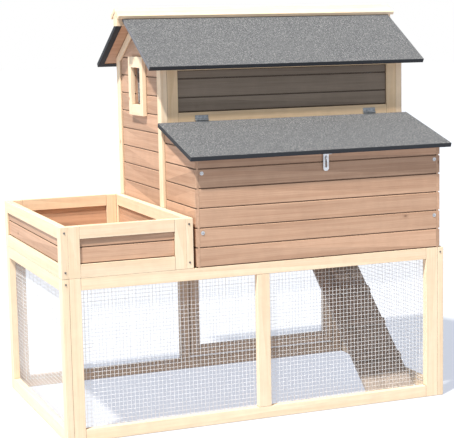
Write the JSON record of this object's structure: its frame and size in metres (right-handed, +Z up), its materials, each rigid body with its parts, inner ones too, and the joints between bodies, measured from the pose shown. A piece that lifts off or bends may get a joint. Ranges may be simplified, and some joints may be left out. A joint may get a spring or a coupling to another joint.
{
  "type": "chicken coop",
  "caption": "Wooden chicken coop: mesh run with a rear door and ramp, open planter, gabled felt-roofed house, nest box with a lifting lid and hasp.",
  "frame": {"origin": "middle of the coop's plan, on the ground", "axes": "+X to the right seen from the nest box side, +Y towards the back, +Z up"},
  "size_m": [1.359, 0.826, 1.2982],
  "materials": {
    "natural_pine": "planed natural softwood",
    "stained_planks": "grey-brown stained softwood",
    "dark_ramp_boards": "dark stained softwood",
    "roofing_felt": "mineral-surfaced bitumen felt",
    "welded_mesh": "galvanised wire",
    "zinc_hardware": "bright zinc plate"
  },
  "bodies": {
    "coop": {"run_front_frame": "natural_pine", "run_left_frame": "natural_pine", "run_right_frame": "natural_pine", "run_rear_frame": "natural_pine", "cross_rail": "natural_pine", "planter_front_frame": "natural_pine", "planter_left_frame": "natural_pine", "planter_right_frame": "natural_pine", "planter_rear_frame": "natural_pine", "house_left_frame": "natural_pine", "house_right_frame": "natural_pine", "window_frame": "natural_pine", "house_front_frame": "natural_pine", "house_rear_frame": "natural_pine", "perch": "natural_pine", "ridge_beam": "natural_pine", "ridge_cap": "natural_pine", "planter_front_planks": "stained_planks", "planter_left_planks": "stained_planks", "planter_right_planks": "stained_planks", "planter_rear_planks": "stained_planks", "planter_floor": "stained_planks", "house_left_planks": "stained_planks", "house_right_planks": "stained_planks", "house_rear_planks": "stained_planks", "house_floor": "stained_planks", "front_roof_board": "stained_planks", "rear_roof_board": "stained_planks", "nest_sides": "stained_planks", "nest_front_planks": "stained_planks", "nest_floor": "stained_planks", "nest_dividers": "stained_planks", "house_front_planks": "stained_planks", "front_roof_felt": "roofing_felt", "rear_roof_felt": "roofing_felt", "run_front_mesh": "welded_mesh", "run_side_mesh": "welded_mesh", "run_rear_mesh": "welded_mesh", "window_mesh": "welded_mesh", "hasp_staple": "zinc_hardware", "fixed_leaves": "zinc_hardware", "hinge_pins": "zinc_hardware", "screws": "zinc_hardware"},
    "nest_lid": {"nest_lid_board": "stained_planks", "nest_lid_felt": "roofing_felt", "lid_leaves": "zinc_hardware", "hasp_leaf": "zinc_hardware"},
    "hasp": {"hasp_strap": "zinc_hardware"},
    "ramp": {"ramp_boards": "dark_ramp_boards", "ramp_cleats": "dark_ramp_boards", "ramp_leaves": "zinc_hardware"},
    "run_door": {"run_door_frame": "natural_pine", "run_door_mesh": "welded_mesh", "run_door_leaves": "zinc_hardware"},
    "run_door_button": {"run_door_button": "natural_pine"},
    "house_door": {"house_door_frame": "natural_pine", "house_door_planks": "stained_planks", "house_door_leaves": "zinc_hardware"},
    "house_door_button": {"house_door_button": "natural_pine"}
  },
  "joints": [
    {"name": "nest_lid_hinge", "type": "hinge", "parent": "coop", "child": "nest_lid", "pos_m": [0.1705, -0.11124, 0.934], "axis": [-1, 0, 0], "range_deg": [0, 80]},
    {"name": "hasp_hinge", "type": "hinge", "parent": "nest_lid", "child": "hasp", "pos_m": [0.1835, -0.38294, 0.83466], "axis": [-1, 0, 0], "range_deg": [0, 60]},
    {"name": "ramp_hinge", "type": "hinge", "parent": "coop", "child": "ramp", "pos_m": [0.4655, 0.27806, 0.497], "axis": [-1, 0, 0], "range_deg": [0, 7]},
    {"name": "run_door_hinge", "type": "hinge", "parent": "coop", "child": "run_door", "pos_m": [0.5515, 0.36036, 0.253], "axis": [0, 0, -1], "range_deg": [0, 110]},
    {"name": "run_door_button_turn", "type": "hinge", "parent": "coop", "child": "run_door_button", "pos_m": [-0.0375, 0.36206, 0.275], "axis": [0, 1, 0], "range_deg": [0, 90]},
    {"name": "house_door_hinge", "type": "hinge", "parent": "coop", "child": "house_door", "pos_m": [-0.2055, 0.36036, 0.816], "axis": [0, 0, 1], "range_deg": [0, 110]},
    {"name": "house_door_button_turn", "type": "hinge", "parent": "coop", "child": "house_door_button", "pos_m": [0.1665, 0.36206, 0.816], "axis": [0, 1, 0], "range_deg": [0, 90]}
  ]
}
